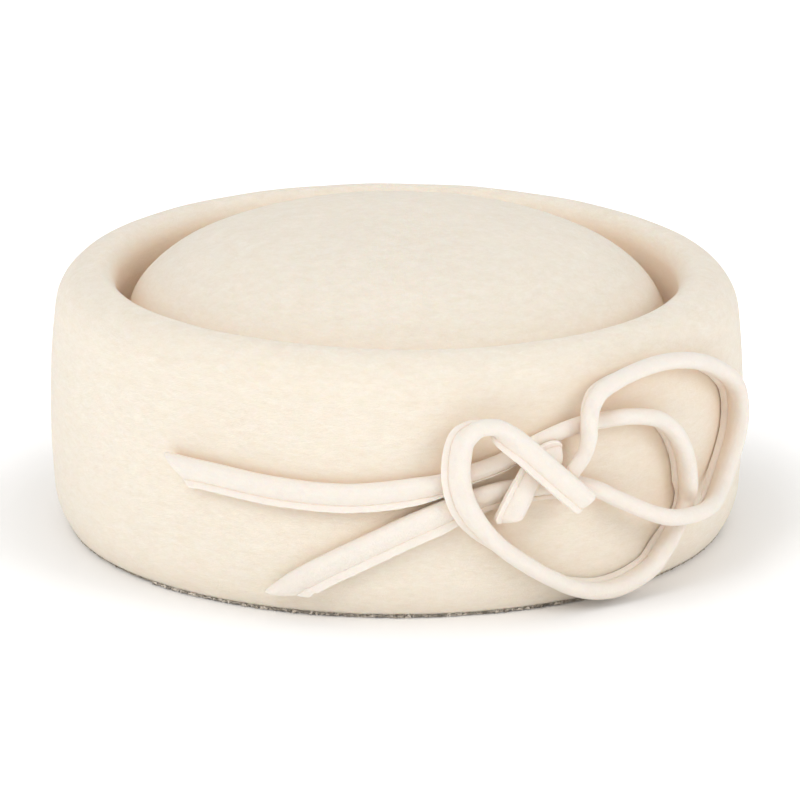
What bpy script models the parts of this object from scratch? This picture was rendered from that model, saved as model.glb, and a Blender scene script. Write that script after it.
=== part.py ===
"""Blocked felt pillbox hat with a bow of rolled felt strips.

Metres, +Z up. The hat stands on its lower edge at z = 0, the centre of its oval is at x = y = 0, and its
front faces -Y. The bow is sewn to the side wall, right of the front centre, towards +X.
"""
import math

import bmesh
import bpy
import numpy as np

# Crown: one piece of blocked felt, open below
HAT_WIDTH = 0.190        # across the side wall at its widest, along X
HAT_DEPTH = 0.205        # front to back at the same height, along Y
RIM_HEIGHT = 0.0705      # from the lower edge up to the crest of the rim
FELT = 0.0025            # thickness of the felt
BELLY_HEIGHT = 0.031     # height at which the side wall is widest
BARREL = 0.0015          # how far the wall draws in from there up to the rim's rounding
EDGE_ROLL = 0.011        # height over which the lower edge curls in
EDGE_TUCK = 0.0033       # how far it curls in
RIM_ROUND = 0.0122       # height of the rim's outer rounding
CREST_INSET = 0.0129     # from the widest line in to the crest of the rim
RIM_ROLL_IN = 0.0054     # from the crest in to the groove's wall
RIM_ROLL_DROP = 0.0061   # height of the rim's inner rounding
GROOVE_DEPTH = 0.017     # from the crest down to the bottom of the groove
GROOVE_ROUND = 0.0015    # radius of the groove's bottom
DOME_RISE = 0.0118       # how far the dome stands above the crest
DOME_FULLNESS = 2.7      # 2 is a plain ellipse, and more is fuller at the edge
RIM_TILT_SIDE = 0.0008   # the rim's extra height at the left, lost at the right
RIM_TILT_BACK = 0.0005   # the rim's extra height at the back, lost at the front

# Bow: strips of thin felt folded round a cord and stitched beside it
ROLL = 0.0044            # diameter of the round roll along one edge
SEAM = 0.0040            # width of the seam beside the roll, from the roll's round to its cut edge
FLANK = 0.42             # share of the seam that the roll's flank takes, down to the stitches
SEAM_THICK = 0.0018      # two layers of thin felt
STITCH_PINCH = 0.0003    # how far the stitches draw in each face beside the roll
SEAT_GAP = 0.0003        # clearance between pieces that touch
SLANT_RUN = 0.0152       # length over which a slanted cut's lean fades out

# Detail
AROUND = 56              # facets round the crown
STATION_SPACING = 0.0038  # along a strip
ROLL_FACETS = 8

FELT_COLOUR = (0.905, 0.835, 0.735, 1.0)
STRIP_COLOUR = (0.915, 0.850, 0.760, 1.0)
FELT_ROUGHNESS = 0.95

# Each route is read along the strip, from a cut end. turn_deg goes round the hat from its front centre
# towards +X, and height is a share of RIM_HEIGHT. layers counts the strips that it climbs over.
# twist_deg is how the seam lies: 0 flat to the right of the way along, 90 towards the wall, 180 flat to
# the left, and under 0 or over 180 with its edge raised off the wall. seam is the share of SEAM that
# shows there, and press the share of the strip's thickness that is left where a crossing strip holds it
# down.
ROUTE_COLUMNS = ("turn_deg", "height", "layers", "twist_deg", "seam", "press")
LOWER_LOOP_ROUTE = (
    (-38.7, 0.545, 0.00, -6, 0.80, 1.00),   # upper tail, at its cut end
    (-29.3, 0.540, 0.00, -8, 0.80, 1.00),
    (-18.0, 0.520, 0.00, -8, 0.80, 1.00),
    (-7.1, 0.515, 0.00, -6, 0.80, 1.00),
    (2.5, 0.540, 0.00, -4, 0.70, 1.00),
    (7.3, 0.555, 0.00, 0, 0.40, 0.85),
    (11.7, 0.585, 0.00, 8, 0.15, 0.75),     # under its own loop
    (16.0, 0.615, 0.00, 15, 0.15, 0.75),
    (19.9, 0.655, 0.00, 25, 0.15, 0.75),    # under its own far end
    (23.6, 0.690, 0.00, 45, 0.15, 0.80),
    (28.6, 0.720, 0.00, 80, 0.15, 0.80),    # under the upper loop
    (32.8, 0.725, 0.00, 90, 0.30, 0.80),
    (36.0, 0.730, 0.00, 90, 0.70, 1.00),    # top of the lower loop
    (39.9, 0.715, 0.00, 90, 0.80, 1.00),
    (43.5, 0.685, 0.00, 90, 0.80, 1.00),
    (46.6, 0.625, 0.00, 90, 0.80, 1.00),
    (48.6, 0.550, 0.00, 90, 0.80, 1.00),
    (49.7, 0.475, 0.00, 90, 0.80, 1.00),
    (50.1, 0.405, 0.00, 90, 0.80, 1.00),
    (50.9, 0.335, 0.00, 90, 0.50, 0.90),    # under the upper loop again
    (50.0, 0.280, 0.00, 90, 0.45, 0.88),
    (47.9, 0.240, 0.00, 90, 0.60, 0.95),
    (45.5, 0.195, 0.00, 90, 0.80, 1.00),
    (43.1, 0.140, 0.00, 90, 0.80, 1.00),
    (39.3, 0.105, 0.00, 90, 0.80, 1.00),
    (34.8, 0.090, 0.00, 90, 0.80, 1.00),    # bottom of the lower loop
    (30.2, 0.105, 0.00, 90, 0.80, 1.00),
    (26.2, 0.135, 0.00, 90, 0.80, 1.00),
    (19.6, 0.230, 0.00, 95, 0.80, 1.00),
    (14.1, 0.345, 0.10, 120, 0.80, 1.00),
    (11.6, 0.430, 0.60, 145, 0.80, 1.00),
    (10.1, 0.505, 0.90, 160, 0.80, 1.00),   # over both tails
    (9.5, 0.580, 0.88, 168, 0.80, 1.00),
    (9.6, 0.655, 0.88, 160, 0.80, 1.00),
    (10.1, 0.725, 0.92, 135, 0.70, 1.00),
    (11.8, 0.765, 1.00, 100, 0.55, 1.00),   # turns over, back towards the right
    (13.9, 0.770, 1.25, 55, 0.55, 1.00),
    (16.3, 0.740, 1.50, 20, 0.70, 1.00),
    (18.3, 0.700, 1.68, 0, 0.75, 1.00),
    (20.8, 0.640, 1.70, -6, 0.75, 1.00),    # over the knot strip
    (23.3, 0.580, 1.68, -6, 0.75, 1.00),
    (28.8, 0.455, 1.40, -4, 0.75, 1.00),    # cut end, on top of the bow
)
UPPER_LOOP_ROUTE = (
    (-20.3, 0.090, 0.00, -4, 1.00, 1.00),   # lower tail, at its cut end
    (-14.7, 0.185, 0.00, -5, 1.00, 1.00),
    (-4.8, 0.320, 0.00, -5, 1.00, 1.00),
    (4.7, 0.430, 0.00, -3, 1.00, 1.00),
    (8.6, 0.465, 0.00, 0, 0.90, 0.80),
    (12.0, 0.490, 0.00, 5, 0.70, 0.75),     # under the lower loop
    (16.0, 0.510, 0.00, 10, 0.60, 0.75),
    (20.0, 0.515, 0.00, 10, 0.55, 0.75),    # under the knot strip
    (24.2, 0.515, 0.00, 10, 0.50, 0.75),
    (28.5, 0.500, 0.00, 15, 0.45, 0.80),
    (31.9, 0.470, 0.05, 60, 0.40, 0.90),
    (34.2, 0.435, 0.25, 90, 0.45, 1.00),
    (36.8, 0.400, 0.65, 90, 0.40, 1.00),
    (39.8, 0.360, 1.10, 90, 0.20, 1.00),
    (43.0, 0.330, 1.42, 90, 0.15, 1.00),
    (46.7, 0.315, 1.46, 90, 0.15, 1.00),
    (50.1, 0.310, 1.44, 90, 0.15, 1.00),    # over the lower loop
    (53.5, 0.315, 1.08, 90, 0.35, 1.00),
    (57.4, 0.335, 0.40, 90, 0.65, 1.00),
    (60.8, 0.385, 0.05, 90, 0.80, 1.00),
    (62.8, 0.435, 0.00, 90, 0.80, 1.00),
    (64.9, 0.495, 0.00, 90, 0.80, 1.00),
    (66.3, 0.585, 0.00, 90, 0.80, 1.00),    # far end of the upper loop
    (65.6, 0.670, 0.00, 90, 0.80, 1.00),
    (62.9, 0.735, 0.00, 90, 0.80, 1.00),
    (59.1, 0.790, 0.00, 90, 0.80, 1.00),
    (54.8, 0.840, 0.00, 90, 0.80, 1.00),
    (49.2, 0.870, 0.00, 90, 0.80, 1.00),
    (44.1, 0.880, 0.00, 90, 0.80, 1.00),    # top of the upper loop
    (39.1, 0.875, 0.00, 90, 0.80, 1.00),
    (34.6, 0.860, 0.10, 90, 0.80, 1.00),
    (31.9, 0.840, 0.30, 90, 0.60, 1.00),
    (30.2, 0.800, 0.60, 90, 0.40, 1.00),
    (29.1, 0.745, 1.00, 90, 0.20, 1.00),    # over the lower loop
    (29.0, 0.675, 0.92, 90, 0.20, 0.95),
    (28.5, 0.620, 0.82, 90, 0.15, 0.80),
    (27.3, 0.580, 0.78, 90, 0.15, 0.75),
    (26.2, 0.548, 0.78, 90, 0.15, 0.75),    # cut end, under the end of the lower loop's strip
)
KNOT_ROUTE = (
    (17.6, 0.410, 0.55, 184, 0.70, 0.90),   # short end of the bow
    (18.4, 0.455, 0.70, 184, 0.75, 0.85),
    (19.2, 0.500, 0.84, 184, 0.75, 0.80),   # over the lower tail
    (20.1, 0.545, 0.88, 185, 0.65, 0.75),
    (21.2, 0.585, 0.86, 186, 0.60, 0.75),   # under the end of the lower loop's strip
    (22.4, 0.610, 0.72, 186, 0.60, 0.75),
    (23.9, 0.620, 0.62, 186, 0.60, 0.80),
    (25.2, 0.620, 0.58, 186, 0.60, 0.85),   # cut end, beside the upper loop
)
# How far each end's cut slants back from the roll to the seam, as a share of the width: start, finish
LOWER_LOOP_SLANTS = (1.3, 0.2)
UPPER_LOOP_SLANTS = (1.2, 0.0)
KNOT_SLANTS = (-0.4, 0.0)


def side_inset(z):
    """How far the side wall stands in from the widest line, at height z below the rim's rounding."""
    shoulder = RIM_HEIGHT - RIM_ROUND
    inset = BARREL * ((z - BELLY_HEIGHT) / (shoulder - BELLY_HEIGHT)) ** 2
    if z < EDGE_ROLL:
        inset += EDGE_TUCK * (1 - z / EDGE_ROLL) ** 2
    return inset


def rim_rounding():
    """The angle at which the rim's rounding meets the wall smoothly, its height there and its width."""
    start = math.atan(2 * BARREL / (RIM_HEIGHT - RIM_ROUND - BELLY_HEIGHT))
    start_height = RIM_HEIGHT - RIM_ROUND * (1 - math.sin(start))
    width = (CREST_INSET - side_inset(start_height)) / math.cos(start)
    return start, start_height, width


def outside_inset(z):
    """How far the outside stands in from the widest line, at any height up to the crest."""
    start, start_height, width = rim_rounding()
    if z <= start_height:
        return side_inset(z)
    rise = min(1.0, (z - RIM_HEIGHT + RIM_ROUND) / RIM_ROUND)
    return CREST_INSET - width * math.sqrt(1 - rise ** 2)


def dome_reach():
    """Half of the dome's width, where it rises from the groove."""
    return HAT_WIDTH / 2 - CREST_INSET - RIM_ROLL_IN - 2 * GROOVE_ROUND


def crown_point(turn, reach, z):
    """A point of the crown: reach is measured along X, and turn goes round from the front to +X."""
    dome = dome_reach()
    longer = (HAT_DEPTH - HAT_WIDTH) / 2
    depth_reach = reach + longer * min(1.0, reach / dome)
    x = reach * math.sin(turn)
    y = -depth_reach * math.cos(turn)
    tilt = RIM_TILT_BACK * y / (HAT_DEPTH / 2) - RIM_TILT_SIDE * x / (HAT_WIDTH / 2)
    return np.array((x, y, z + tilt * z / RIM_HEIGHT))


def outer_profile(detail):
    """The crown's outside from its lower edge to the top of the dome, as (reach, z) points."""
    half = HAT_WIDTH / 2
    start, start_height, width = rim_rounding()
    edge = [EDGE_ROLL * k / (3 * detail) for k in range(3 * detail)]
    wall = list(np.linspace(EDGE_ROLL, start_height, 3 * detail + 1))
    points = [(half - side_inset(z), z) for z in edge + wall]
    for angle in np.linspace(start, math.pi / 2, 4 * detail + 1)[1:]:
        inset = CREST_INSET - width * math.cos(angle)
        points.append((half - inset, RIM_HEIGHT - RIM_ROUND * (1 - math.sin(angle))))
    crest = half - CREST_INSET
    for angle in np.linspace(0, math.pi / 2, 3 * detail + 1)[1:]:
        drop = RIM_ROLL_DROP * (1 - math.cos(angle))
        points.append((crest - RIM_ROLL_IN * math.sin(angle), RIM_HEIGHT - drop))
    bottom = RIM_HEIGHT - GROOVE_DEPTH + GROOVE_ROUND
    dome = dome_reach()
    for angle in np.linspace(0, math.pi, 2 * detail + 1)[:-1]:
        reach = dome + GROOVE_ROUND * (1 + math.cos(angle))
        points.append((reach, bottom - GROOVE_ROUND * math.sin(angle)))
    height = RIM_HEIGHT + DOME_RISE - bottom
    for angle in np.linspace(0, math.pi / 2, 5 * detail + 1):
        share = math.cos(angle)
        points.append((dome * share, bottom + height * math.sqrt(1 - share ** DOME_FULLNESS)))
    return points


def inner_profile(detail):
    """The outside set in by the felt's thickness, from the top of the hollow down to the lower edge."""
    outer = np.array(outer_profile(detail))
    along = np.gradient(outer, axis=0)
    along /= np.linalg.norm(along, axis=1)[:, None]
    inner = outer + FELT * np.stack((-along[:, 1], along[:, 0]), axis=1)
    inner[0] = (outer[0, 0] - FELT, 0)
    inner[-1] = (0, outer[-1, 1] - FELT)
    return inner[::-1].tolist()


def add_ring_faces(bm, rings):
    """Joins each ring of vertices to the next, where a ring may also be one vertex."""
    for low, high in zip(rings, rings[1:]):
        count = max(len(low), len(high))
        for k in range(count):
            after = (k + 1) % count
            if len(low) == 1:
                corners = (low[0], high[after], high[k])
            elif len(high) == 1:
                corners = (low[k], low[after], high[0])
            else:
                corners = (low[k], low[after], high[after], high[k])
            bm.faces.new(corners)


def felt_material(name, colour):
    material = bpy.data.materials.new(name)
    material.use_nodes = True
    shader = material.node_tree.nodes["Principled BSDF"]
    shader.inputs["Base Color"].default_value = colour
    shader.inputs["Roughness"].default_value = FELT_ROUGHNESS
    shader.inputs["Metallic"].default_value = 0.0
    return material


def finish_object(bm, name, material, parent):
    """Turns the faces outward and makes the piece an object under the hat's empty."""
    bmesh.ops.recalc_face_normals(bm, faces=bm.faces)
    mesh = bpy.data.meshes.new(name)
    bm.to_mesh(mesh)
    bm.free()
    mesh.shade_smooth()
    mesh.set_sharp_from_angle(angle=math.radians(50))
    piece = bpy.data.objects.new(name, mesh)
    piece.data.materials.append(material)
    piece.parent = parent
    bpy.context.scene.collection.objects.link(piece)
    return piece


def make_crown(parent):
    """The blocked felt: side wall, rounded rim, groove and dome, hollow below."""
    bm = bmesh.new()
    rings = []
    for reach, z in outer_profile(2) + inner_profile(1):
        if reach < 1e-6:
            places = [crown_point(0, 0, z)]
        else:
            places = [crown_point(math.tau * k / AROUND, reach, z) for k in range(AROUND)]
        rings.append([bm.verts.new(place) for place in places])
    tops = [k for k, ring in enumerate(rings) if len(ring) == 1]
    outside, inside = rings[:tops[0] + 1], rings[tops[1]:]
    add_ring_faces(bm, outside)
    add_ring_faces(bm, inside)
    add_ring_faces(bm, [inside[-1], outside[0]])
    return finish_object(bm, "felt_crown", felt_material("crown_felt", FELT_COLOUR), parent)


def seat_height(twist, seam, press):
    """From the surface below up to the roll's centre, where the strip just clears that surface."""
    radius = ROLL / 2
    seam_reach = (radius + SEAM * seam) * math.sin(twist) + SEAM_THICK / 2 * abs(math.cos(twist))
    return SEAT_GAP + press * max(radius, seam_reach)


def wall_normal(turn, z):
    step = 0.0001
    reach = HAT_WIDTH / 2
    low = crown_point(turn, reach - outside_inset(z - step), z - step)
    high = crown_point(turn, reach - outside_inset(z + step), z + step)
    before = crown_point(turn - step / reach, reach - outside_inset(z), z)
    after = crown_point(turn + step / reach, reach - outside_inset(z), z)
    normal = np.cross(after - before, high - low)
    return normal / np.linalg.norm(normal)


def roll_centre(row):
    """Where a route's row puts the centre of the roll, and the wall's normal there."""
    turn_deg, height, layers, twist_deg, seam, press = row
    turn, z = math.radians(turn_deg), height * RIM_HEIGHT
    normal = wall_normal(turn, z)
    lift = layers * (ROLL + SEAT_GAP) + seat_height(math.radians(twist_deg), seam, press)
    return crown_point(turn, HAT_WIDTH / 2 - outside_inset(z), z) + normal * lift, normal


def smooth_rows(route):
    """Evenly spaced rows of the smooth curve through a route's own rows."""
    rows = np.array(route, float)
    centres = np.array([roll_centre(row)[0] for row in rows])
    steps = np.linalg.norm(np.diff(centres, axis=0), axis=1)
    knots = np.concatenate(([0], np.cumsum(steps)))
    slopes = np.gradient(rows, knots, axis=0)
    places = np.linspace(0, knots[-1], round(knots[-1] / STATION_SPACING) + 1)
    k = np.clip(np.searchsorted(knots, places, side="right") - 1, 0, len(rows) - 2)
    span = (knots[k + 1] - knots[k])[:, None]
    t = (places - knots[k])[:, None] / span
    smooth = (2 * t ** 3 - 3 * t ** 2 + 1) * rows[k] + (3 * t ** 2 - 2 * t ** 3) * rows[k + 1]
    smooth += (t ** 3 - 2 * t ** 2 + t) * span * slopes[k] + (t ** 3 - t ** 2) * span * slopes[k + 1]
    return np.clip(smooth, rows.min(axis=0), rows.max(axis=0))


def strip_section(seam):
    """The strip's cross-section: u goes from the roll's centre towards the seam, v across it."""
    radius, half = ROLL / 2, SEAM_THICK / 2
    reach = SEAM * seam
    flank, groove = FLANK * reach, half - STITCH_PINCH
    side = []
    for angle in np.linspace(math.pi, math.pi / 2, ROLL_FACETS // 2):
        side.append((radius * math.cos(angle), radius * math.sin(angle)))
    for share in (0.55, 1.0):
        side.append((share * (radius + flank), radius - (radius - groove) * share ** 2))
    side.append((radius + 0.92 * reach, 0.9 * half))
    return side + [(radius + reach, 0)] + [(u, -v) for u, v in reversed(side[1:])]


def make_strip(name, route, slants, parent):
    """One felt strip, swept along its route on the wall and cut at a slant at both ends."""
    rows = smooth_rows(route)
    placed = [roll_centre(row) for row in rows]
    centres = np.array([centre for centre, _ in placed])
    along = np.gradient(centres, axis=0)
    along /= np.linalg.norm(along, axis=1)[:, None]
    from_start = np.concatenate(([0], np.cumsum(np.linalg.norm(np.diff(centres, axis=0), axis=1))))
    slant_start = slants[0] * np.clip(1 - from_start / SLANT_RUN, 0, 1)
    slant_finish = slants[1] * np.clip(1 - (from_start[-1] - from_start) / SLANT_RUN, 0, 1)
    bm = bmesh.new()
    rings = []
    for k, (row, (centre, normal)) in enumerate(zip(rows, placed)):
        twist_deg, seam, press = row[3:]
        twist = math.radians(twist_deg)
        out = normal - along[k] * normal.dot(along[k])
        out /= np.linalg.norm(out)
        left = np.cross(out, along[k])
        to_seam = -left * math.cos(twist) - out * math.sin(twist)
        across = np.cross(along[k], to_seam)
        slant = slant_start[k] - slant_finish[k]
        ring = []
        for u, v in strip_section(seam):
            place = to_seam * u + across * v
            place -= out * place.dot(out) * (1 - press)
            ring.append(bm.verts.new(centre + place + along[k] * slant * (u + ROLL / 2)))
        rings.append(ring)
    add_ring_faces(bm, rings)
    bm.faces.new(rings[0])
    bm.faces.new(reversed(rings[-1]))
    return finish_object(bm, name, felt_material(name + "_felt", STRIP_COLOUR), parent)


def build():
    for old in list(bpy.data.objects):
        bpy.data.objects.remove(old, do_unlink=True)
    hat = bpy.data.objects.new("pillbox_hat", None)
    bpy.context.scene.collection.objects.link(hat)
    make_crown(hat)
    make_strip("lower_loop_strip", LOWER_LOOP_ROUTE, LOWER_LOOP_SLANTS, hat)
    make_strip("upper_loop_strip", UPPER_LOOP_ROUTE, UPPER_LOOP_SLANTS, hat)
    make_strip("knot_strip", KNOT_ROUTE, KNOT_SLANTS, hat)


build()
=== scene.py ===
"""Ivory felt pillbox hat with a bow of rolled felt strips, standing on a pale table.

Metres, +Z up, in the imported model's frame: the hat's front faces -Y and the bow is towards +X.
"""
import math

import bmesh
import bpy
import numpy as np
from mathutils import Matrix, Vector, noise


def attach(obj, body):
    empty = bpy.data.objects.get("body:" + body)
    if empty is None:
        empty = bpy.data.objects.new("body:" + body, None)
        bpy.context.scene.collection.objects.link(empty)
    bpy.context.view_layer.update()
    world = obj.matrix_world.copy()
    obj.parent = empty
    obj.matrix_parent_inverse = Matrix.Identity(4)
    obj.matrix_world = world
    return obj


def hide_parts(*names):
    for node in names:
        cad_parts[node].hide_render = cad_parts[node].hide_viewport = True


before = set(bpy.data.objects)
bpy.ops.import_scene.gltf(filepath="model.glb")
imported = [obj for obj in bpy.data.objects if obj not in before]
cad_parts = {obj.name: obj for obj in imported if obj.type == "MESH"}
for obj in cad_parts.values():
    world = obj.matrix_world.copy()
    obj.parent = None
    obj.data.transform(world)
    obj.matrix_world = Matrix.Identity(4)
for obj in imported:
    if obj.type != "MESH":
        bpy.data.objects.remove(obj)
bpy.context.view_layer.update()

# Crown, as in the part's source
HAT_WIDTH = 0.190        # across the side wall at its widest, along X
HAT_DEPTH = 0.205        # front to back at the same height, along Y
RIM_HEIGHT = 0.0705      # from the lower edge up to the crest of the rim
FELT = 0.0025            # thickness of the felt
BELLY_HEIGHT = 0.031     # height at which the side wall is widest
BARREL = 0.0015          # how far the wall draws in from there up to the rim's rounding
EDGE_ROLL = 0.011        # height over which the lower edge curls in
EDGE_TUCK = 0.0033       # how far it curls in
RIM_ROUND = 0.0122       # height of the rim's outer rounding
CREST_INSET = 0.0129     # from the widest line in to the crest of the rim
RIM_ROLL_IN = 0.0054     # from the crest in to the groove's wall
RIM_ROLL_DROP = 0.0061   # height of the rim's inner rounding
GROOVE_DEPTH = 0.017     # from the crest down to the bottom of the groove
GROOVE_ROUND = 0.0015    # radius of the groove's bottom
DOME_RISE = 0.0118       # how far the dome stands above the crest
DOME_FULLNESS = 2.7      # 2 is a plain ellipse, and more is fuller at the edge
RIM_TILT_SIDE = 0.0008   # the rim's extra height at the left, lost at the right
RIM_TILT_BACK = 0.0005   # the rim's extra height at the back, lost at the front

# Crown, finer than the source
AROUND = 288             # facets round the crown
OUTSIDE_DETAIL = 6       # facets of each stretch of the outside, as a multiple of the coarsest
HOLLOW_DETAIL = 3        # the same inside
EDGE_ROUND_OUT = 0.0011  # rounding of the lower edge outside
EDGE_ROUND_IN = 0.0006   # and inside
EDGE_STEPS_OUT = 8       # points of that rounding outside
EDGE_STEPS_IN = 6        # and inside
WAVE_HEIGHT = 0.0007     # unevenness that steaming over a block leaves in the felt
BROAD_WAVES = 16         # its broad waves, a metre
CLOSE_WAVES = 70         # its close waves, a metre
BROAD_SHARE = 0.7        # share of it that the broad waves make
CALM_HEIGHT = 0.2        # share of RIM_HEIGHT up to which the wall is calmest
CALM_SHARE = 0.3         # share of it that is left there
WELD_DISTANCE = 1e-6     # vertices nearer than this are one

# Loose fibres along the lower edge
FRINGE_DOUBLINGS = 12    # 2 to this power is their number
FRINGE_ROOTS = (0.0003, 0.0012)    # heights of their roots
FRINGE_ROOT_DEPTH = 0.0002         # how deep the roots are in the felt
FRINGE_LENGTH = (0.0005, 0.0015)
FRINGE_RADIUS = (0.00001, 0.00003)
FRINGE_TAPER = 0.2       # radius at the tip, as a share of the root's
FRINGE_OUTWARD = (0.1, 0.4)        # how much each fibre points away from the hat,
FRINGE_ASIDE = 1.1                 # how much to one side or the other, on the usual spread,
FRINGE_DOWN = (0.1, 0.9)           # and how much down
FRINGE_FLOOR_GAP = 0.0001          # left between its tip and the table
WORN_SIDE = 0.72         # where X is past this share of the half width, the fibres are worn short
WORN_LENGTH = 0.35       # share of their length that is left there

# Bow, as in the part's source
ROLL = 0.0044            # diameter of the round roll along one edge
SEAM = 0.0040            # width of the seam beside the roll, from the roll's round to its cut edge
FLANK = 0.42             # share of the seam that the roll's flank takes, down to the stitches
SEAM_THICK = 0.0018      # two layers of thin felt
STITCH_PINCH = 0.0003    # how far the stitches draw in each face beside the roll
SEAT_GAP = 0.0003        # clearance between pieces that touch
SLANT_RUN = 0.0152       # length over which a slanted cut's lean fades out

# Bow, finer than the source
STATION_SPACING = 0.0008 # from one ring of points to the next, along a strip
ROLL_FACETS = 22         # facets that a full roll would have
STITCH_LENGTH = 0.0024   # from one stitch to the next
STITCH_LEAST = 1.3       # STITCH_PINCH is multiplied by this between two stitches
STITCH_MORE = 0.6        # and by this much more at a stitch
END_ROUND = 0.0016       # length over which a cut end is rounded off
END_THIN = 0.45          # share of the thickness that is left at the end
END_SHORT = 0.4          # how much of that thinning the strip's width takes part in
TIP_NOTCH = 0.00015      # depth of the line between the two layers along the cut edge
EDGE_WAVER = 0.00016     # unevenness of the cut edge
EDGE_WAVES = 500         # its waves, a metre
ROLL_SWELL = 0.035       # unevenness of the strip's thickness, as a share of it
ROLL_WAVES = 130         # its waves, a metre
# Steps down the roll's flank to the stitches, closer together at its foot
FLANK_STEPS = (0.2, 0.4, 0.58, 0.74, 0.87, 0.96, 1.0)
# The lip past the stitches: share of its width, and height as a share of half its thickness
LIP_SHAPE = ((0.10, 0.74), (0.24, 0.88), (0.45, 0.96), (0.75, 1.00), (0.93, 0.96), (0.985, 0.80),
             (1.0, 0.45))

# Each route is read along the strip, from a cut end. Its columns are turn_deg, height, layers, twist_deg,
# seam and press. turn_deg goes round the hat from its front centre towards +X, and height is a share of
# RIM_HEIGHT. layers counts the strips that it climbs over. twist_deg is how the seam lies: 0 flat to the
# right of the way along, 90 towards the wall, 180 flat to the left, and under 0 or over 180 with its edge
# raised off the wall. seam is the share of SEAM that shows there, and press the share of the strip's
# thickness that is left where a crossing strip holds it down.
LOWER_LOOP_ROUTE = (
    (-38.7, 0.545, 0.00, -6, 0.80, 1.00),   # upper tail, at its cut end
    (-29.3, 0.540, 0.00, -8, 0.80, 1.00),
    (-18.0, 0.520, 0.00, -8, 0.80, 1.00),
    (-7.1, 0.515, 0.00, -6, 0.80, 1.00),
    (2.5, 0.540, 0.00, -4, 0.70, 1.00),
    (7.3, 0.555, 0.00, 0, 0.40, 0.85),
    (11.7, 0.585, 0.00, 8, 0.15, 0.75),     # under its own loop
    (16.0, 0.615, 0.00, 15, 0.15, 0.75),
    (19.9, 0.655, 0.00, 25, 0.15, 0.75),    # under its own far end
    (23.6, 0.690, 0.00, 45, 0.15, 0.80),
    (28.6, 0.720, 0.00, 80, 0.15, 0.80),    # under the upper loop
    (32.8, 0.725, 0.00, 90, 0.30, 0.80),
    (36.0, 0.730, 0.00, 90, 0.70, 1.00),    # top of the lower loop
    (39.9, 0.715, 0.00, 90, 0.80, 1.00),
    (43.5, 0.685, 0.00, 90, 0.80, 1.00),
    (46.6, 0.625, 0.00, 90, 0.80, 1.00),
    (48.6, 0.550, 0.00, 90, 0.80, 1.00),
    (49.7, 0.475, 0.00, 90, 0.80, 1.00),
    (50.1, 0.405, 0.00, 90, 0.80, 1.00),
    (50.9, 0.335, 0.00, 90, 0.50, 0.90),    # under the upper loop again
    (50.0, 0.280, 0.00, 90, 0.45, 0.88),
    (47.9, 0.240, 0.00, 90, 0.60, 0.95),
    (45.5, 0.195, 0.00, 90, 0.80, 1.00),
    (43.1, 0.140, 0.00, 90, 0.80, 1.00),
    (39.3, 0.105, 0.00, 90, 0.80, 1.00),
    (34.8, 0.090, 0.00, 90, 0.80, 1.00),    # bottom of the lower loop
    (30.2, 0.105, 0.00, 90, 0.80, 1.00),
    (26.2, 0.135, 0.00, 90, 0.80, 1.00),
    (19.6, 0.230, 0.00, 95, 0.80, 1.00),
    (14.1, 0.345, 0.10, 120, 0.80, 1.00),
    (11.6, 0.430, 0.60, 145, 0.80, 1.00),
    (10.1, 0.505, 0.90, 160, 0.80, 1.00),   # over both tails
    (9.5, 0.580, 0.88, 168, 0.80, 1.00),
    (9.6, 0.655, 0.88, 160, 0.80, 1.00),
    (10.1, 0.725, 0.92, 135, 0.70, 1.00),
    (11.8, 0.765, 1.00, 100, 0.55, 1.00),   # turns over, back towards the right
    (13.9, 0.770, 1.25, 55, 0.55, 1.00),
    (16.3, 0.740, 1.50, 20, 0.70, 1.00),
    (18.3, 0.700, 1.68, 0, 0.75, 1.00),
    (20.8, 0.640, 1.70, -6, 0.75, 1.00),    # over the knot strip
    (23.3, 0.580, 1.68, -6, 0.75, 1.00),
    (28.8, 0.455, 1.40, -4, 0.75, 1.00),    # cut end, on top of the bow
)
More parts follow.
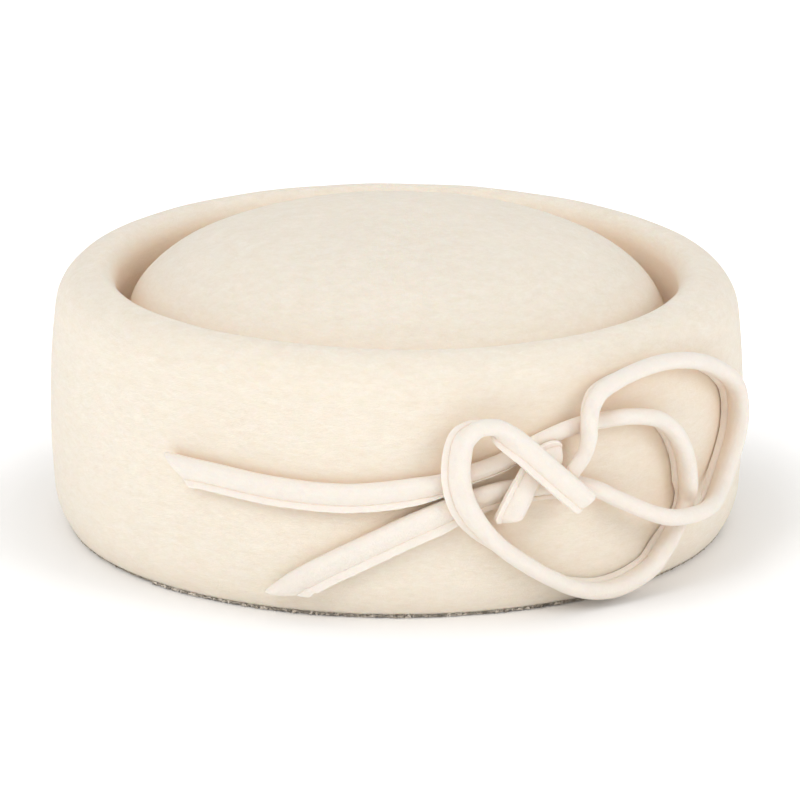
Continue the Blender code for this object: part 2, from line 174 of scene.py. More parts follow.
UPPER_LOOP_ROUTE = (
    (-20.3, 0.090, 0.00, -4, 1.00, 1.00),   # lower tail, at its cut end
    (-14.7, 0.185, 0.00, -5, 1.00, 1.00),
    (-4.8, 0.320, 0.00, -5, 1.00, 1.00),
    (4.7, 0.430, 0.00, -3, 1.00, 1.00),
    (8.6, 0.465, 0.00, 0, 0.90, 0.80),
    (12.0, 0.490, 0.00, 5, 0.70, 0.75),     # under the lower loop
    (16.0, 0.510, 0.00, 10, 0.60, 0.75),
    (20.0, 0.515, 0.00, 10, 0.55, 0.75),    # under the knot strip
    (24.2, 0.515, 0.00, 10, 0.50, 0.75),
    (28.5, 0.500, 0.00, 15, 0.45, 0.80),
    (31.9, 0.470, 0.05, 60, 0.40, 0.90),
    (34.2, 0.435, 0.25, 90, 0.45, 1.00),
    (36.8, 0.400, 0.65, 90, 0.40, 1.00),
    (39.8, 0.360, 1.10, 90, 0.20, 1.00),
    (43.0, 0.330, 1.42, 90, 0.15, 1.00),
    (46.7, 0.315, 1.46, 90, 0.15, 1.00),
    (50.1, 0.310, 1.44, 90, 0.15, 1.00),    # over the lower loop
    (53.5, 0.315, 1.08, 90, 0.35, 1.00),
    (57.4, 0.335, 0.40, 90, 0.65, 1.00),
    (60.8, 0.385, 0.05, 90, 0.80, 1.00),
    (62.8, 0.435, 0.00, 90, 0.80, 1.00),
    (64.9, 0.495, 0.00, 90, 0.80, 1.00),
    (66.3, 0.585, 0.00, 90, 0.80, 1.00),    # far end of the upper loop
    (65.6, 0.670, 0.00, 90, 0.80, 1.00),
    (62.9, 0.735, 0.00, 90, 0.80, 1.00),
    (59.1, 0.790, 0.00, 90, 0.80, 1.00),
    (54.8, 0.840, 0.00, 90, 0.80, 1.00),
    (49.2, 0.870, 0.00, 90, 0.80, 1.00),
    (44.1, 0.880, 0.00, 90, 0.80, 1.00),    # top of the upper loop
    (39.1, 0.875, 0.00, 90, 0.80, 1.00),
    (34.6, 0.860, 0.10, 90, 0.80, 1.00),
    (31.9, 0.840, 0.30, 90, 0.60, 1.00),
    (30.2, 0.800, 0.60, 90, 0.40, 1.00),
    (29.1, 0.745, 1.00, 90, 0.20, 1.00),    # over the lower loop
    (29.0, 0.675, 0.92, 90, 0.20, 0.95),
    (28.5, 0.620, 0.82, 90, 0.15, 0.80),
    (27.3, 0.580, 0.78, 90, 0.15, 0.75),
    (26.2, 0.548, 0.78, 90, 0.15, 0.75),    # cut end, under the end of the lower loop's strip
)
KNOT_ROUTE = (
    (17.6, 0.410, 0.55, 184, 0.70, 0.90),   # short end of the bow
    (18.4, 0.455, 0.70, 184, 0.75, 0.85),
    (19.2, 0.500, 0.84, 184, 0.75, 0.80),   # over the lower tail
    (20.1, 0.545, 0.88, 185, 0.65, 0.75),
    (21.2, 0.585, 0.86, 186, 0.60, 0.75),   # under the end of the lower loop's strip
    (22.4, 0.610, 0.72, 186, 0.60, 0.75),
    (23.9, 0.620, 0.62, 186, 0.60, 0.80),
    (25.2, 0.620, 0.58, 186, 0.60, 0.85),   # cut end, beside the upper loop
)
# How far each end's cut slants back from the roll to the seam, as a share of the width: start, finish
LOWER_LOOP_SLANTS = (1.3, 0.2)
UPPER_LOOP_SLANTS = (1.2, 0.0)
KNOT_SLANTS = (-0.4, 0.0)

# The wool's nap. Each layer of noise has a scale in cells a metre, its detail, roughness and distortion,
# and a shift that sets it apart from the others
MOTTLE = (150, 3.0, 0.6, 0.3, (0.1, 0, 0))
STREAKS = (380, 4.0, 0.65, 0.6, (0, 0.2, 0))
GRAIN = (1900, 2.0, 0.6, 0.4, (0, 0, 0.3))
# Each layer of hairs has a scale, its distortion, the hairs' width in levels of the noise, and a shift
HAIR_LAYERS = ((420, 2.4, 0.022, (0.3, 0.1, 0)), (640, 1.8, 0.024, (0, 0.5, 0.2)))
GRAIN_TONE = 0.25        # how much of the grain shows in the colour
MIDDLE_TONE = 0.55       # between the deep wool's colour, 0, and the light wool's, 1
HAIR_SHARE = 0.2         # share of the surface that the hairs take up
STREAK_RELIEF = 0.8      # how much each shows in the nap's height
HAIR_RELIEF = 0.35
GRAIN_RELIEF = 0.7
NAP_RELIEF = 0.0004      # depth that a height of 1 in the nap stands for
NAP_STRENGTH = 0.5       # of the bump that the height makes

# The two felts. Colours are linear red, green, blue and alpha. The stretch squeezes the nap's pattern
# along each axis, the glow is how far light spreads under the surface, and the recess shade is how
# strongly the painted shade tone shows in a recess
CROWN_NAP = {"Light Wool": (0.94, 0.87, 0.77, 1), "Deep Wool": (0.82, 0.72, 0.58, 1),
             "Mottle": 0.6, "Streaks": 0.95, "Hairs": 0.34}
CROWN_STRETCH = (1, 1, 3)
CROWN_GLOW = 0.0025
CROWN_RECESS_SHADE = 0.75
STRIP_NAP = {"Light Wool": (0.885, 0.835, 0.77, 1), "Deep Wool": (0.82, 0.745, 0.66, 1),
             "Mottle": 0.4, "Streaks": 0.6, "Hairs": 0.3}
STRIP_STRETCH = (1, 1, 1)
STRIP_GLOW = 0.001
STRIP_RECESS_SHADE = 0.45
FELT_SURFACE = {
    "Roughness": 0.92, "Specular IOR Level": 0.25,
    "Subsurface Weight": 0.25, "Subsurface Radius": (1.0, 0.45, 0.22),
    "Sheen Weight": 0.15, "Sheen Roughness": 0.45, "Sheen Tint": (1.0, 0.97, 0.92, 1.0),
}

# Painted shade: a warmer, darker tone in recesses
PAINTED_RECESS_SHADE_TONE = (0.94, 0.74, 0.56, 1)
RECESS_REACH = 0.016     # how far off another surface still makes a recess
RECESS_SAMPLES = 6       # rays that look for one at each point
RECESS_OPENNESS = (0.3, 0.9)       # share of open air: full tone below the first, none above the second
TABLE_LIGHT = (0.008, 0.028)       # heights between which the white table's light dies away
RECESS_SHADE_BY_TABLE = 0.15             # warmth that is left close to the table

# Painted contact shadow under the lower edge, which runs along the front and fades out at both sides
PAINTED_EDGE_SHADOW_TONE = (0.17, 0.145, 0.125, 1)
EDGE_SHADOW_STRENGTH = 0.85     # how strongly it shows in front
EDGE_MIDDLE = -0.012     # X of the dark stretch's middle
EDGE_FADE = (0.055, 0.077)         # distances from there between which it fades out
EDGE_HEIGHTS = (0.0011, 0.0017)    # heights between which it fades out, before it is made ragged
EDGE_RAGGED = 0.0016     # unevenness of its upper border
EDGE_RAGGED_SCALE = 1700 # cells a metre

# The painted highlight on the strips' cut edge, and the fringe's two tones, painted darker as painted shade
CUT_EDGE_HIGHLIGHT_TONE = (0.96, 0.92, 0.85, 1)
CUT_EDGE_HIGHLIGHT_SHARE = 0.4     # how strongly it shows
CUT_EDGE_PART = (1.75, 2.0)        # values of strip_part between which it comes up
FRINGE_SHADED_DEEP = (0.50, 0.45, 0.38, 1)
FRINGE_SHADED_LIGHT = (0.74, 0.67, 0.58, 1)
FRINGE_PATCHES = 900     # cells a metre
FRINGE_LEVELS = (0.35, 0.65)       # noise levels of the deep and the light tone

# Studio. The table has a painted glow away from the hat, by the distance from the frame's origin, and is
# painted darker close to it as shadow
TABLE_SIZE = 4
TABLE_SURFACE = {"Base Color": (0.94, 0.94, 0.94, 1), "Roughness": 0.8, "Emission Color": (1, 1, 1, 1)}
PAINTED_TABLE_GLOW = (0.02, 0.3)           # close to the hat, and away from it
PAINTED_TABLE_GLOW_DISTANCES = (0.098, 0.145)
WORLD_COLOUR = (1, 1, 1, 1)
WORLD_STRENGTH = 0.68
# Round soft lamps aimed at the hat: name, place, diameter and watts
LAMPS = (
    ("key", (-1.1, -1.9, 1.9), 1.4, 18),
    ("left", (-2.4, -0.6, 1.2), 1.6, 8),
    ("right", (2.2, -1.4, 1.3), 1.6, 19),
    ("top", (0.1, 0.3, 2.2), 1.6, 2),
)

# Camera, set by the ovals of the rim and the dome in the photograph
CAMERA_RISE = math.radians(15.49)
CAMERA_DISTANCE = 1.6344
CAMERA_AIM = Vector((0, 0, 0.03525))
CAMERA_LENS = 267.7
CAMERA_SENSOR = 36
CAMERA_SHIFT = (0.004, -0.0154)

# The places of a Mix node's colour sockets
MIX_FIRST, MIX_SECOND, MIX_RESULT = 6, 7, 2


def side_inset(z):
    """How far the side wall stands in from the widest line, at height z below the rim's rounding."""
    shoulder = RIM_HEIGHT - RIM_ROUND
    inset = BARREL * ((z - BELLY_HEIGHT) / (shoulder - BELLY_HEIGHT)) ** 2
    if z < EDGE_ROLL:
        inset += EDGE_TUCK * (1 - z / EDGE_ROLL) ** 2
    return inset


def rim_rounding():
    """The angle at which the rim's rounding meets the wall smoothly, its height there and its width."""
    start = math.atan(2 * BARREL / (RIM_HEIGHT - RIM_ROUND - BELLY_HEIGHT))
    start_height = RIM_HEIGHT - RIM_ROUND * (1 - math.sin(start))
    width = (CREST_INSET - side_inset(start_height)) / math.cos(start)
    return start, start_height, width


def outside_inset(z):
    """How far the outside stands in from the widest line, at any height up to the crest."""
    start, start_height, width = rim_rounding()
    if z <= start_height:
        return side_inset(z)
    rise = min(1.0, (z - RIM_HEIGHT + RIM_ROUND) / RIM_ROUND)
    return CREST_INSET - width * math.sqrt(1 - rise ** 2)


def dome_reach():
    """Half of the dome's width, where it rises from the groove."""
    return HAT_WIDTH / 2 - CREST_INSET - RIM_ROLL_IN - 2 * GROOVE_ROUND


def crown_point(turn, reach, z):
    """A point of the crown: reach is measured along X, and turn goes round from the front to +X."""
    dome = dome_reach()
    longer = (HAT_DEPTH - HAT_WIDTH) / 2
    depth_reach = reach + longer * min(1.0, reach / dome)
    x = reach * math.sin(turn)
    y = -depth_reach * math.cos(turn)
    tilt = RIM_TILT_BACK * y / (HAT_DEPTH / 2) - RIM_TILT_SIDE * x / (HAT_WIDTH / 2)
    return np.array((x, y, z + tilt * z / RIM_HEIGHT))


def outer_profile(detail):
    """The crown's outside from its lower edge to the top of the dome, as (reach, z) points."""
    half = HAT_WIDTH / 2
    start, start_height, width = rim_rounding()
    edge = [EDGE_ROLL * k / (3 * detail) for k in range(3 * detail)]
    wall = list(np.linspace(EDGE_ROLL, start_height, 3 * detail + 1))
    points = [(half - side_inset(z), z) for z in edge + wall]
    for angle in np.linspace(start, math.pi / 2, 4 * detail + 1)[1:]:
        inset = CREST_INSET - width * math.cos(angle)
        points.append((half - inset, RIM_HEIGHT - RIM_ROUND * (1 - math.sin(angle))))
    crest = half - CREST_INSET
    for angle in np.linspace(0, math.pi / 2, 3 * detail + 1)[1:]:
        drop = RIM_ROLL_DROP * (1 - math.cos(angle))
        points.append((crest - RIM_ROLL_IN * math.sin(angle), RIM_HEIGHT - drop))
    bottom = RIM_HEIGHT - GROOVE_DEPTH + GROOVE_ROUND
    dome = dome_reach()
    for angle in np.linspace(0, math.pi, 2 * detail + 1)[:-1]:
        reach = dome + GROOVE_ROUND * (1 + math.cos(angle))
        points.append((reach, bottom - GROOVE_ROUND * math.sin(angle)))
    height = RIM_HEIGHT + DOME_RISE - bottom
    for angle in np.linspace(0, math.pi / 2, 5 * detail + 1):
        share = math.cos(angle)
        points.append((dome * share, bottom + height * math.sqrt(1 - share ** DOME_FULLNESS)))
    return points


def inner_profile(detail):
    """The outside set in by the felt's thickness, from the top of the hollow down to the lower edge."""
    outer = np.array(outer_profile(detail))
    along = np.gradient(outer, axis=0)
    along /= np.linalg.norm(along, axis=1)[:, None]
    inner = outer + FELT * np.stack((-along[:, 1], along[:, 0]), axis=1)
    inner[0] = (outer[0, 0] - FELT, 0)
    inner[-1] = (0, outer[-1, 1] - FELT)
    return inner[::-1].tolist()


def lower_edge_profile():
    """The rounded lower edge, from the hollow round to the outside."""
    corner = HAT_WIDTH / 2 - side_inset(0)
    points = []
    for angle in np.linspace(math.pi, 1.5 * math.pi, EDGE_STEPS_IN):
        x = corner - FELT + EDGE_ROUND_IN * (1 + math.cos(angle))
        points.append((x, EDGE_ROUND_IN * (1 + math.sin(angle))))
    for angle in np.linspace(1.5 * math.pi, math.tau, EDGE_STEPS_OUT):
        x = corner - EDGE_ROUND_OUT * (1 - math.cos(angle))
        points.append((x, EDGE_ROUND_OUT * (1 + math.sin(angle))))
    return points


def blocking_wave(place):
    """The small unevenness that steaming over a block leaves, from about -1 to 1."""
    broad = noise.noise(Vector(place) * BROAD_WAVES + Vector((3.1, 0, 0)))
    close = noise.noise(Vector(place) * CLOSE_WAVES + Vector((0, 7.7, 0)))
    return BROAD_SHARE * broad + (1 - BROAD_SHARE) * close


def wave_share(z):
    """Nearly 1 on the dome, and least low on the side wall, where the bow lies close on the felt."""
    above = max(0.0, z / RIM_HEIGHT - CALM_HEIGHT)
    return min(1.0, CALM_SHARE + (1 - CALM_SHARE) * above ** 2)


def new_mesh_piece(bm, name, replaced, material, smooth_limit=50):
    """Makes the piece an object that rides on the hat and stands for its solid."""
    mesh = bpy.data.meshes.new(name)
    bm.to_mesh(mesh)
    bm.free()
    mesh.shade_smooth()
    mesh.set_sharp_from_angle(angle=math.radians(smooth_limit))
    mesh.materials.append(material)
    piece = bpy.data.objects.new(name, mesh)
    bpy.context.scene.collection.objects.link(piece)
    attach(piece, "root")
    if replaced:
        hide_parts(replaced)
    return piece


def make_crown(material):
    """The blocked felt: side wall, rounded rim, groove and dome, with its hollow below."""
    outer = [point for point in outer_profile(OUTSIDE_DETAIL) if point[1] > EDGE_ROUND_OUT]
    inner = [point for point in inner_profile(HOLLOW_DETAIL) if point[1] > EDGE_ROUND_IN]
    bm = bmesh.new()
    chain = [bm.verts.new((reach, 0, z)) for reach, z in inner + lower_edge_profile() + outer]
    edges = [bm.edges.new(pair) for pair in zip(chain, chain[1:])]
    bmesh.ops.spin(bm, geom=chain + edges, cent=(0, 0, 0), axis=(0, 0, 1), dvec=(0, 0, 0), angle=math.tau,
                   steps=AROUND, use_merge=True)
    bmesh.ops.remove_doubles(bm, verts=bm.verts, dist=WELD_DISTANCE)
    bmesh.ops.recalc_face_normals(bm, faces=bm.faces)
    for vert in bm.verts:
        reach, z = math.hypot(vert.co.x, vert.co.y), vert.co.z
        place = crown_point(math.atan2(vert.co.x, -vert.co.y), reach, z)
        wave = WAVE_HEIGHT * wave_share(z) * blocking_wave(place)
        vert.co = place + np.array(vert.normal) * wave
        vert.co.z = max(vert.co.z, 0.0)
    return new_mesh_piece(bm, "blocked_crown", "felt_crown", material)


def fringe_root(turn, z):
    """A point just inside the felt's outside, on the rounded lower edge or above it."""
    reach = HAT_WIDTH / 2 - side_inset(z)
    if z < EDGE_ROUND_OUT:
        reach -= EDGE_ROUND_OUT - math.sqrt(EDGE_ROUND_OUT ** 2 - (EDGE_ROUND_OUT - z) ** 2)
    return Vector(crown_point(turn, reach - FRINGE_ROOT_DEPTH, z))


def make_fringe(material):
    """Loose wool fibres that hang over the lower edge, each a thin closed spike rooted in the felt."""
    rng = np.random.default_rng(7)
    bm = bmesh.new()
    bmesh.ops.create_cone(bm, segments=3, radius1=1, radius2=FRINGE_TAPER, depth=1, cap_ends=True)
    corners = len(bm.verts)
    for _ in range(FRINGE_DOUBLINGS):
        bmesh.ops.duplicate(bm, geom=bm.verts[:] + bm.edges[:] + bm.faces[:])
    bm.verts.ensure_lookup_table()
    fibres = len(bm.verts) // corners
    for k in range(fibres):
        turn = math.tau * (k + rng.random()) / fibres
        root = fringe_root(turn, rng.uniform(*FRINGE_ROOTS))
        outward = Vector((math.sin(turn), -math.cos(turn), 0))
        way = Vector((math.cos(turn), math.sin(turn), 0)) * rng.normal(0, FRINGE_ASIDE)
        way += outward * rng.uniform(*FRINGE_OUTWARD)
        way -= Vector((0, 0, rng.uniform(*FRINGE_DOWN)))
        way.normalize()
        worn = WORN_LENGTH if abs(math.sin(turn)) > WORN_SIDE else 1.0
        length = min(worn * rng.uniform(*FRINGE_LENGTH), (root.z - FRINGE_FLOOR_GAP) / -way.z)
        radius = rng.uniform(*FRINGE_RADIUS)
        turned = way.to_track_quat("Z", "Y").to_matrix().to_4x4()
        sized = Matrix.Diagonal((radius, radius, length, 1))
        placed = Matrix.Translation(root + way * length / 2) @ turned @ sized
        for vert in bm.verts[k * corners:(k + 1) * corners]:
            vert.co = placed @ vert.co
    return new_mesh_piece(bm, "edge_fringe", None, material, 30)


def seat_height(twist, seam, press):
    """From the surface below up to the roll's centre, where the strip just clears that surface."""
    radius = ROLL / 2
    seam_reach = (radius + SEAM * seam) * math.sin(twist) + SEAM_THICK / 2 * abs(math.cos(twist))
    return SEAT_GAP + press * max(radius, seam_reach)


def wall_normal(turn, z):
    """The side wall's outward direction, from points a small step apart on each side of this one."""
    step = 0.0001
    reach = HAT_WIDTH / 2
    low = crown_point(turn, reach - outside_inset(z - step), z - step)
    high = crown_point(turn, reach - outside_inset(z + step), z + step)
    before = crown_point(turn - step / reach, reach - outside_inset(z), z)
    after = crown_point(turn + step / reach, reach - outside_inset(z), z)
    normal = np.cross(after - before, high - low)
    return normal / np.linalg.norm(normal)


def roll_centre(row):
    """Where a route's row puts the centre of the roll, and the wall's normal there."""
    turn_deg, height, layers, twist_deg, seam, press = row
    turn, z = math.radians(turn_deg), height * RIM_HEIGHT
    normal = wall_normal(turn, z)
    lift = layers * (ROLL + SEAT_GAP) + seat_height(math.radians(twist_deg), seam, press)
    return crown_point(turn, HAT_WIDTH / 2 - outside_inset(z), z) + normal * lift, normal


def smooth_rows(route):
    """Evenly spaced rows of the smooth curve through a route's own rows."""
    rows = np.array(route, float)
    centres = np.array([roll_centre(row)[0] for row in rows])
    steps = np.linalg.norm(np.diff(centres, axis=0), axis=1)
    knots = np.concatenate(([0], np.cumsum(steps)))
    slopes = np.gradient(rows, knots, axis=0)
    places = np.linspace(0, knots[-1], round(knots[-1] / STATION_SPACING) + 1)
    k = np.clip(np.searchsorted(knots, places, side="right") - 1, 0, len(rows) - 2)
    span = (knots[k + 1] - knots[k])[:, None]
    t = (places - knots[k])[:, None] / span
    smooth = (2 * t ** 3 - 3 * t ** 2 + 1) * rows[k] + (3 * t ** 2 - 2 * t ** 3) * rows[k + 1]
    smooth += (t ** 3 - 2 * t ** 2 + t) * span * slopes[k] + (t ** 3 - t ** 2) * span * slopes[k + 1]
    return places, np.clip(smooth, rows.min(axis=0), rows.max(axis=0))


def strip_section(seam, pinch, waver):
    """The strip's cross-section: u goes from the roll's centre towards the seam, v across it.

    The third number is 0 on the roll, rises to 1 in the line of stitches and to 2 at the cut edge.
    """
    radius, half = ROLL / 2, SEAM_THICK / 2
    reach = SEAM * seam
    flank, groove = FLANK * reach, half - pinch
    side = []
    for angle in np.linspace(math.pi, math.pi / 2, ROLL_FACETS // 2):
        side.append((radius * math.cos(angle), radius * math.sin(angle), 0.0))
    for share in FLANK_STEPS:
        side.append((share * (radius + flank), radius - (radius - groove) * share ** 2, share ** 6))
    for share, height in LIP_SHAPE:
        side.append((radius + flank + share * (reach - flank + waver), height * half, 1 + share))
    tip = radius + reach + waver - TIP_NOTCH
    return side + [(tip, 0, 2.0)] + [(u, -v, part) for u, v, part in reversed(side[1:])]


def strip_rings(route, slants, seed):
    """The rings of points along a strip, one for each station, each with its points' strip_part."""
    places, rows = smooth_rows(route)
    placed = [roll_centre(row) for row in rows]
    along = np.gradient(np.array([centre for centre, _ in placed]), axis=0)
    along /= np.linalg.norm(along, axis=1)[:, None]
    length = places[-1]
    for place, row, (centre, normal), way in zip(places, rows, placed, along):
        twist_deg, seam, press = row[3:]
        twist = math.radians(twist_deg)
        out = normal - way * normal.dot(way)
        out /= np.linalg.norm(out)
        to_seam = np.cross(way, out) * math.cos(twist) - out * math.sin(twist)
        across = np.cross(way, to_seam)
        slant = slants[0] * max(0.0, 1 - place / SLANT_RUN)
        slant -= slants[1] * max(0.0, 1 - (length - place) / SLANT_RUN)
        stitch = 0.5 + 0.5 * math.cos(math.tau * place / STITCH_LENGTH)
        pinch = STITCH_PINCH * (STITCH_LEAST + STITCH_MORE * stitch ** 3)
        waver = EDGE_WAVER * noise.noise(Vector((place * EDGE_WAVES, seed, 0)))
        swell = 1 + ROLL_SWELL * noise.noise(Vector((place * ROLL_WAVES, seed, 4)))
        from_end = min(1.0, min(place, length - place) / END_ROUND)
        rounding = END_THIN + (1 - END_THIN) * math.sqrt(1 - (1 - from_end) ** 2)
        width = (1 - END_SHORT) * swell + END_SHORT * rounding
        points, parts = [], []
        for u, v, part in strip_section(seam, pinch, waver):
            offset = to_seam * u * width + across * v * swell * rounding
            offset -= out * offset.dot(out) * (1 - press)
            points.append(centre + offset + way * slant * (u + ROLL / 2))
            parts.append(part)
        yield points, parts


def extrude_ring(bm, ring, ring_edges):
    """Extrudes a strip's open end, and gives the new ring in the old one's order, with its edges."""
    grown = bmesh.ops.extrude_edge_only(bm, edges=ring_edges)["geom"]
    fresh = [item for item in grown if isinstance(item, bmesh.types.BMVert)]
    new_edges = [item for item in grown if isinstance(item, bmesh.types.BMEdge)
                 and item.verts[0] in fresh and item.verts[1] in fresh]
    before = set(ring)
    partners = {}
    for vert in fresh:
        for edge in vert.link_edges:
            other = edge.other_vert(vert)
            if other in before:
                partners[other] = vert
    return [partners[vert] for vert in ring], new_edges


def make_strip(name, route, slants, replaced, material, seed):
    """One felt strip, swept along its route on the wall and cut at a slant at both ends."""
    bm = bmesh.new()
    part_layer = bm.verts.layers.float.new("strip_part")
    ring, ring_edges = [], []
    for points, parts in strip_rings(route, slants, seed):
        if ring:
            ring, ring_edges = extrude_ring(bm, ring, ring_edges)
        else:
            ring = [bm.verts.new(point) for point in points]
            ring_edges = [bm.edges.new(pair) for pair in zip(ring, ring[1:] + ring[:1])]
            bm.faces.new(reversed(ring))
        for vert, point, part in zip(ring, points, parts):
            vert.co = point
            vert[part_layer] = part
    bm.faces.new(ring)
    bmesh.ops.recalc_face_normals(bm, faces=bm.faces)
    return new_mesh_piece(bm, name, replaced, material, 40)


def add_node(tree, kind, inputs=(), **settings):
    """A shader node with its settings, and its inputs given by name or place, as values or sockets."""
    node = tree.nodes.new(kind)
    for name, value in settings.items():
        setattr(node, name, value)
    for name, value in dict(inputs).items():
        if isinstance(value, bpy.types.NodeSocket):
            tree.links.new(value, node.inputs[name])
        else:
            node.inputs[name].default_value = value
    return node


def fade(tree, value, limits, first=1.0, last=0.0, smooth=False):
    """Goes from first, where the value is at the first limit or below, to last, at the second or above."""
    inputs = {"Value": value, "From Min": limits[0], "From Max": limits[1], "To Min": first, "To Max": last}
    kind = "SMOOTHSTEP" if smooth else "LINEAR"
    return add_node(tree, "ShaderNodeMapRange", inputs, interpolation_type=kind).outputs[0]


def mix_colours(tree, factor, first, second):
    """The first colour where the factor is 0, and the second where it is 1."""
    inputs = {"Factor": factor, MIX_FIRST: first, MIX_SECOND: second}
    return add_node(tree, "ShaderNodeMix", inputs, data_type="RGBA").outputs[MIX_RESULT]


def object_place(tree):
    """The place on the surface, in metres from the frame's origin."""
    return add_node(tree, "ShaderNodeTexCoord").outputs["Object"]


def new_material(name, surface):
    """A material and its shader, with the plain sockets of the shader set by name."""
    material = bpy.data.materials.new(name)
    material.use_nodes = True
    shader = material.node_tree.nodes["Principled BSDF"]
    for socket, value in surface.items():
        shader.inputs[socket].default_value = value
    return material, shader


def wool_nap_group():
    """Matted wool: broad mottling, short streaks along the nap, and fine hairs that lie every way."""
    group = bpy.data.node_groups.new("wool_nap", "ShaderNodeTree")
    face = group.interface
    face.new_socket("Vector", in_out="INPUT", socket_type="NodeSocketVector")
    for name in ("Light Wool", "Deep Wool"):
        face.new_socket(name, in_out="INPUT", socket_type="NodeSocketColor")
    for name in ("Mottle", "Streaks", "Hairs"):
        face.new_socket(name, in_out="INPUT", socket_type="NodeSocketFloat")
    face.new_socket("Colour", in_out="OUTPUT", socket_type="NodeSocketColor")
    face.new_socket("Height", in_out="OUTPUT", socket_type="NodeSocketFloat")
    taken = group.nodes.new("NodeGroupInput").outputs
    given = group.nodes.new("NodeGroupOutput").inputs

    def math_node(operation, *values):
        return add_node(group, "ShaderNodeMath", enumerate(values), operation=operation).outputs[0]

    def wool_noise(scale, detail, roughness, distortion, shift):
        moved = add_node(group, "ShaderNodeVectorMath", {0: taken["Vector"], 1: shift}, operation="ADD")
        return add_node(group, "ShaderNodeTexNoise", {
            "Vector": moved.outputs[0], "Scale": scale, "Detail": detail, "Roughness": roughness,
            "Distortion": distortion}).outputs["Fac"]

    def hair_lines(scale, distortion, width, shift):
        level = wool_noise(scale, 1.0, 0.4, distortion, shift)
        apart = math_node("ABSOLUTE", math_node("SUBTRACT", level, 0.5))
        return fade(group, apart, (0.0, width), smooth=True)

    mottle = math_node("SUBTRACT", wool_noise(*MOTTLE), 0.5)
    streaks = math_node("SUBTRACT", wool_noise(*STREAKS), 0.5)
    grain = math_node("SUBTRACT", wool_noise(*GRAIN), 0.5)
    first_hairs, second_hairs = [hair_lines(*layer) for layer in HAIR_LAYERS]
    hairs = math_node("SUBTRACT", math_node("MAXIMUM", first_hairs, second_hairs), HAIR_SHARE)
    tone = math_node("MULTIPLY", mottle, taken["Mottle"])
    tone = math_node("MULTIPLY_ADD", streaks, taken["Streaks"], tone)
    tone = math_node("MULTIPLY_ADD", hairs, taken["Hairs"], tone)
    tone = math_node("MULTIPLY_ADD", grain, GRAIN_TONE, tone)
    level = math_node("ADD", tone, MIDDLE_TONE)
    group.links.new(mix_colours(group, level, taken["Deep Wool"], taken["Light Wool"]), given["Colour"])
    height = math_node("MULTIPLY", streaks, STREAK_RELIEF)
    height = math_node("MULTIPLY_ADD", hairs, HAIR_RELIEF, height)
    height = math_node("MULTIPLY_ADD", grain, GRAIN_RELIEF, height)
    group.links.new(height, given["Height"])
    return group


def felt_material(name, group, nap_values, stretch, glow):
    """Felt with the wool's colours and nap, which lets a little light through below its surface."""
    material, shader = new_material(name, FELT_SURFACE)
    shader.inputs["Subsurface Scale"].default_value = glow
    tree = material.node_tree
    mapping = add_node(tree, "ShaderNodeMapping", {"Vector": object_place(tree), "Scale": stretch})
    nap_inputs = {"Vector": mapping.outputs[0], **nap_values}
    nap = add_node(tree, "ShaderNodeGroup", nap_inputs, node_tree=group)
    tree.links.new(nap.outputs["Colour"], shader.inputs["Base Color"])
    bump = add_node(tree, "ShaderNodeBump", {
        "Strength": NAP_STRENGTH, "Distance": NAP_RELIEF, "Height": nap.outputs["Height"]})
    tree.links.new(bump.outputs[0], shader.inputs["Normal"])
    return material


def mix_over(tree, mask, colour):
    """Lays a plain colour over the shader's present one, by a mask from 0 to 1."""
    target = tree.nodes["Principled BSDF"].inputs["Base Color"]
    tree.links.new(mix_colours(tree, mask, target.links[0].from_socket, colour), target)


def paint_recess_shade(material, shade_strength):
    """Painted shade: the felt is painted warmer and darker where it is enclosed, and less so near the
    table, which is white.
    """
    tree = material.node_tree
    height = add_node(tree, "ShaderNodeSeparateXYZ", {"Vector": object_place(tree)}).outputs["Z"]
    shade_strength_here = fade(tree, height, TABLE_LIGHT, RECESS_SHADE_BY_TABLE, shade_strength, smooth=True)
    openness = add_node(tree, "ShaderNodeAmbientOcclusion", {"Distance": RECESS_REACH},
                        samples=RECESS_SAMPLES).outputs["AO"]
    # painted shade: the warm tone goes over the felt where little open air is near
    mix_over(tree, fade(tree, openness, RECESS_OPENNESS, shade_strength_here), PAINTED_RECESS_SHADE_TONE)


def paint_lower_edge_shadow(material):
    """Painted contact shadow: the lower edge painted grey-brown along the front, with an uneven upper
    border.
    """
    tree = material.node_tree
    place = object_place(tree)
    axes = add_node(tree, "ShaderNodeSeparateXYZ", {"Vector": place}).outputs
    moved = add_node(tree, "ShaderNodeMath", {0: axes["X"], 1: EDGE_MIDDLE}, operation="SUBTRACT")
    from_middle = add_node(tree, "ShaderNodeMath", {0: moved.outputs[0]}, operation="ABSOLUTE").outputs[0]
    shadow_strength = fade(tree, from_middle, EDGE_FADE, EDGE_SHADOW_STRENGTH)
    ragged = add_node(tree, "ShaderNodeTexNoise", {
        "Vector": place, "Scale": EDGE_RAGGED_SCALE, "Detail": 3, "Roughness": 0.7}).outputs["Fac"]
    uneven = add_node(tree, "ShaderNodeMath", {0: ragged, 1: EDGE_RAGGED, 2: axes["Z"]},
                      operation="MULTIPLY_ADD").outputs[0]
    # painted contact shadow, strongest in front and low down
    mix_over(tree, fade(tree, uneven, EDGE_HEIGHTS, shadow_strength), PAINTED_EDGE_SHADOW_TONE)


def paint_cut_edge_highlight(material):
    """Painted highlight: the thin cut edge, painted a little lighter than the rest."""
    tree = material.node_tree
    part = add_node(tree, "ShaderNodeAttribute", attribute_name="strip_part").outputs["Fac"]
    # painted highlight along the cut edge
    mix_over(tree, fade(tree, part, CUT_EDGE_PART, 0.0, CUT_EDGE_HIGHLIGHT_SHARE), CUT_EDGE_HIGHLIGHT_TONE)


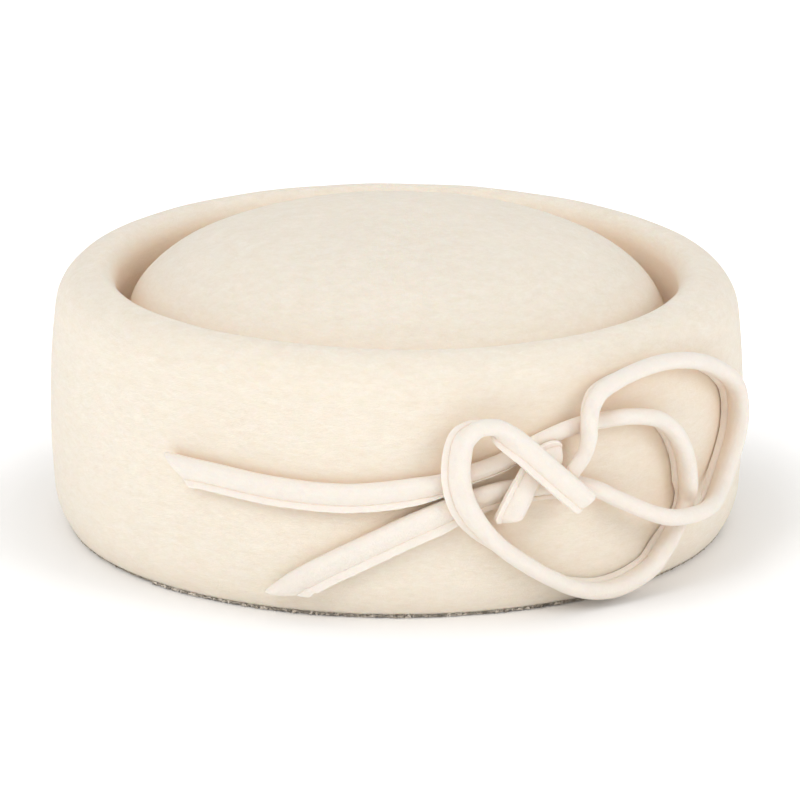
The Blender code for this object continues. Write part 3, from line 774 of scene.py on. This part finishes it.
def shaded_fringe_material():
    """Loose wool in the shade under the hat, painted darker than the felt as painted shade, in patches a
    little lighter or darker than the next.
    """
    material, shader = new_material("fringe_wool_painted_shade", {"Roughness": 1.0})
    tree = material.node_tree
    patches = add_node(tree, "ShaderNodeTexNoise", {
        "Vector": object_place(tree), "Scale": FRINGE_PATCHES}).outputs["Fac"]
    level = fade(tree, patches, FRINGE_LEVELS, 0.0, 1.0)
    # painted shade: both patch tones are darker than the felt
    tree.links.new(mix_colours(tree, level, FRINGE_SHADED_DEEP, FRINGE_SHADED_LIGHT), shader.inputs["Base Color"])
    return material


def add_floor():
    """A plain white table with a painted glow away from the hat, which leaves it painted darker close to
    the hat as shadow.
    """
    material, shader = new_material("table", TABLE_SURFACE)
    tree = material.node_tree
    away = add_node(tree, "ShaderNodeVectorMath", {0: object_place(tree)}, operation="LENGTH")
    glow = fade(tree, away.outputs["Value"], PAINTED_TABLE_GLOW_DISTANCES, *PAINTED_TABLE_GLOW, smooth=True)
    # painted light: emission that is dim close to the hat, as painted shadow, and brighter away from it
    tree.links.new(glow, shader.inputs["Emission Strength"])
    bm = bmesh.new()
    bmesh.ops.create_grid(bm, x_segments=1, y_segments=1, size=TABLE_SIZE)
    mesh = bpy.data.meshes.new("table")
    bm.to_mesh(mesh)
    bm.free()
    mesh.materials.append(material)
    floor = bpy.data.objects.new("table", mesh)
    bpy.context.scene.collection.objects.link(floor)


def add_lights():
    """A bright studio: white all round, with broad soft lamps on both sides and above the front."""
    world = bpy.data.worlds.new("studio")
    world.use_nodes = True
    background = world.node_tree.nodes["Background"].inputs
    background["Color"].default_value = WORLD_COLOUR
    background["Strength"].default_value = WORLD_STRENGTH
    bpy.context.scene.world = world
    for name, place, diameter, watts in LAMPS:
        light = bpy.data.lights.new(name, "AREA")
        light.shape = "DISK"
        light.size = diameter
        light.energy = watts
        lamp = bpy.data.objects.new(name, light)
        lamp.location = place
        lamp.rotation_euler = (CAMERA_AIM - Vector(place)).to_track_quat("-Z", "Y").to_euler()
        bpy.context.scene.collection.objects.link(lamp)
    bpy.context.scene.view_settings.view_transform = "Standard"


def add_camera():
    """The camera at the photograph's viewing angle, level and aimed at the hat's middle."""
    data = bpy.data.cameras.new("camera")
    data.sensor_width = CAMERA_SENSOR
    data.lens = CAMERA_LENS
    data.shift_x, data.shift_y = CAMERA_SHIFT
    camera = bpy.data.objects.new("camera", data)
    back = Vector((0, -math.cos(CAMERA_RISE), math.sin(CAMERA_RISE)))
    camera.location = CAMERA_AIM + back * CAMERA_DISTANCE
    camera.rotation_euler = (math.pi / 2 - CAMERA_RISE, 0, 0)
    bpy.context.scene.collection.objects.link(camera)
    bpy.context.scene.camera = camera


add_camera()
add_lights()
add_floor()

nap_group = wool_nap_group()
crown_felt = felt_material("crown_felt_wool", nap_group, CROWN_NAP, CROWN_STRETCH, CROWN_GLOW)
paint_recess_shade(crown_felt, CROWN_RECESS_SHADE)
paint_lower_edge_shadow(crown_felt)
strip_felt = felt_material("strip_felt_wool", nap_group, STRIP_NAP, STRIP_STRETCH, STRIP_GLOW)
paint_recess_shade(strip_felt, STRIP_RECESS_SHADE)
paint_cut_edge_highlight(strip_felt)

make_crown(crown_felt)
make_fringe(shaded_fringe_material())
make_strip("lower_loop", LOWER_LOOP_ROUTE, LOWER_LOOP_SLANTS, "lower_loop_strip", strip_felt, 1)
make_strip("upper_loop", UPPER_LOOP_ROUTE, UPPER_LOOP_SLANTS, "upper_loop_strip", strip_felt, 2)
make_strip("bow_knot", KNOT_ROUTE, KNOT_SLANTS, "knot_strip", strip_felt, 3)
